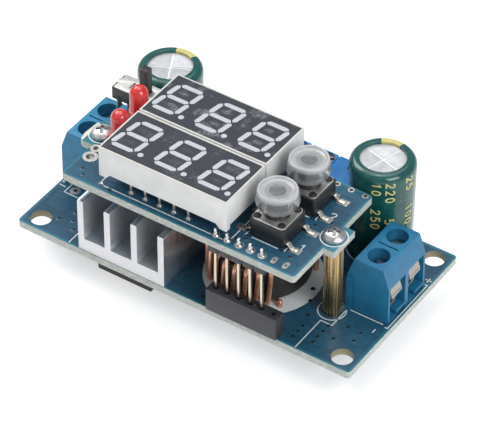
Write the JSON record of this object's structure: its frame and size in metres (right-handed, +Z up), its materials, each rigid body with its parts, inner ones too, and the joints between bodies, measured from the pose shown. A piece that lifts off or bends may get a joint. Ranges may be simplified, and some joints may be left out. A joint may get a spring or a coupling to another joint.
{
  "type": "solar charge controller module",
  "caption": "Stacked circuit boards with a digit display, push buttons, a slide switch, trimmers, a heatsink, a toroid inductor and screw terminals for wires.",
  "frame": {"origin": "centre of the four corner holes, on the main board's underside", "axes": "+X along the main board's length, towards the right terminal; +Y towards the trimmers and capacitors; +Z up through both boards"},
  "size_m": [0.0596, 0.0316, 0.0281],
  "materials": {
    "board_mask": "glossy blue solder mask on glass board",
    "standoff_brass": "ribbed, slightly dull",
    "nickel": "nickel plated",
    "display_white": "moulded, satin",
    "display_dark": "satin ink, lightly scuffed",
    "segment_grey": "translucent, unlit",
    "led_red": "translucent red epoxy",
    "tinned_wire": "tinned",
    "black_plastic": "moulded",
    "steel_sheet": "stamped, nickel plated",
    "clear_cap": "milky translucent moulding",
    "black_anodised": "black anodised, bright cut ends",
    "ferrite": "lacquered powder core",
    "copper_enamel": "enamelled copper wire",
    "can_aluminium": "drawn can",
    "sleeve_dark": "shrunk film",
    "terminal_blue": "moulded nylon",
    "trimmer_blue": "moulded",
    "adjuster_brass": "turned",
    "chip_black": "moulded epoxy",
    "solder": "bright solder"
  },
  "bodies": {
    "boards": {"main_board": "board_mask", "display_board": "board_mask", "standoffs": "standoff_brass", "standoff_screws": "nickel", "near_display_case": "display_white", "far_display_case": "display_white", "near_display_face": "display_dark", "far_display_face": "display_dark", "near_display_segments": "segment_grey", "far_display_segments": "segment_grey", "near_led": "led_red", "far_led": "led_red", "display_pins": "tinned_wire", "led_leads": "tinned_wire", "slide_switch_pins": "tinned_wire", "button_leads": "tinned_wire", "header_pins": "tinned_wire", "capacitor_leads": "tinned_wire", "trimmer_pins": "tinned_wire", "slide_switch_base": "black_plastic", "near_button_base": "black_plastic", "far_button_base": "black_plastic", "header_socket": "black_plastic", "header_strip": "black_plastic", "slide_switch_cover": "steel_sheet", "button_covers": "steel_sheet", "button_domes": "steel_sheet", "terminal_contacts": "steel_sheet", "heatsink": "black_anodised", "toroid_core": "ferrite", "toroid_winding": "copper_enamel", "left_capacitor_can": "can_aluminium", "right_capacitor_can": "can_aluminium", "left_capacitor_sleeve": "sleeve_dark", "right_capacitor_sleeve": "sleeve_dark", "left_terminal_housing": "terminal_blue", "right_terminal_housing": "terminal_blue", "left_trimmer_body": "trimmer_blue", "middle_trimmer_body": "trimmer_blue", "right_trimmer_body": "trimmer_blue", "regulator_chip": "chip_black", "catch_diode": "chip_black", "display_chip": "chip_black", "solder_joints": "solder"},
    "near_button": {"near_button_plunger": "black_plastic", "near_button_cap": "clear_cap"},
    "far_button": {"far_button_plunger": "black_plastic", "far_button_cap": "clear_cap"},
    "slide_lever": {"slide_switch_lever": "black_plastic"},
    "left_adjuster": {"left_trimmer_screw": "adjuster_brass"},
    "middle_adjuster": {"middle_trimmer_screw": "adjuster_brass"},
    "right_adjuster": {"right_trimmer_screw": "adjuster_brass"},
    "left_near_clamp_screw": {"left_near_screw": "nickel"},
    "left_near_clamp_cage": {"left_near_cage": "steel_sheet"},
    "left_far_clamp_screw": {"left_far_screw": "nickel"},
    "left_far_clamp_cage": {"left_far_cage": "steel_sheet"},
    "right_near_clamp_screw": {"right_near_screw": "nickel"},
    "right_near_clamp_cage": {"right_near_cage": "steel_sheet"},
    "right_far_clamp_screw": {"right_far_screw": "nickel"},
    "right_far_clamp_cage": {"right_far_cage": "steel_sheet"}
  },
  "joints": [
    {"name": "near_button_press", "type": "slide", "parent": "boards", "child": "near_button", "axis": [0, 0, -1], "range_m": [0, 0.00025], "stiffness_N_per_m": 1500},
    {"name": "far_button_press", "type": "slide", "parent": "boards", "child": "far_button", "axis": [0, 0, -1], "range_m": [0, 0.00025], "stiffness_N_per_m": 1500},
    {"name": "lever_slide", "type": "slide", "parent": "boards", "child": "slide_lever", "axis": [-1, 0, 0], "range_m": [0, 0.0018]},
    {"name": "left_adjuster_turn", "type": "hinge", "parent": "boards", "child": "left_adjuster", "pos_m": [0.00256, 0.01355, 0.0109], "axis": [0, 0, 1], "continuous": true},
    {"name": "middle_adjuster_turn", "type": "hinge", "parent": "boards", "child": "middle_adjuster", "pos_m": [0.00741, 0.01355, 0.0109], "axis": [0, 0, 1], "continuous": true},
    {"name": "right_adjuster_turn", "type": "hinge", "parent": "boards", "child": "right_adjuster", "pos_m": [0.01225, 0.01355, 0.0109], "axis": [0, 0, 1], "continuous": true},
    {"name": "left_near_screw_turn", "type": "hinge", "parent": "boards", "child": "left_near_clamp_screw", "pos_m": [-0.02625, -0.00109, 0.0083], "axis": [0, 0, -1], "range_deg": [0, 864]},
    {"name": "left_near_cage_slide", "type": "slide", "parent": "boards", "child": "left_near_clamp_cage", "axis": [0, 0, 1], "range_m": [0, 0.0012]},
    {"name": "left_far_screw_turn", "type": "hinge", "parent": "boards", "child": "left_far_clamp_screw", "pos_m": [-0.02625, 0.00399, 0.0083], "axis": [0, 0, -1], "range_deg": [0, 864]},
    {"name": "left_far_cage_slide", "type": "slide", "parent": "boards", "child": "left_far_clamp_cage", "axis": [0, 0, 1], "range_m": [0, 0.0012]},
    {"name": "right_near_screw_turn", "type": "hinge", "parent": "boards", "child": "right_near_clamp_screw", "pos_m": [0.02555, -0.00089, 0.0083], "axis": [0, 0, -1], "range_deg": [0, 864]},
    {"name": "right_near_cage_slide", "type": "slide", "parent": "boards", "child": "right_near_clamp_cage", "axis": [0, 0, 1], "range_m": [0, 0.0012]},
    {"name": "right_far_screw_turn", "type": "hinge", "parent": "boards", "child": "right_far_clamp_screw", "pos_m": [0.02555, 0.00419, 0.0083], "axis": [0, 0, -1], "range_deg": [0, 864]},
    {"name": "right_far_cage_slide", "type": "slide", "parent": "boards", "child": "right_far_clamp_cage", "axis": [0, 0, 1], "range_m": [0, 0.0012]}
  ],
  "couplings": [
    {"joint": "left_near_screw_turn", "follows": "left_near_cage_slide", "rad_per_m": 12566},
    {"joint": "left_far_screw_turn", "follows": "left_far_cage_slide", "rad_per_m": 12566},
    {"joint": "right_near_screw_turn", "follows": "right_near_cage_slide", "rad_per_m": 12566},
    {"joint": "right_far_screw_turn", "follows": "right_far_cage_slide", "rad_per_m": 12566}
  ]
}
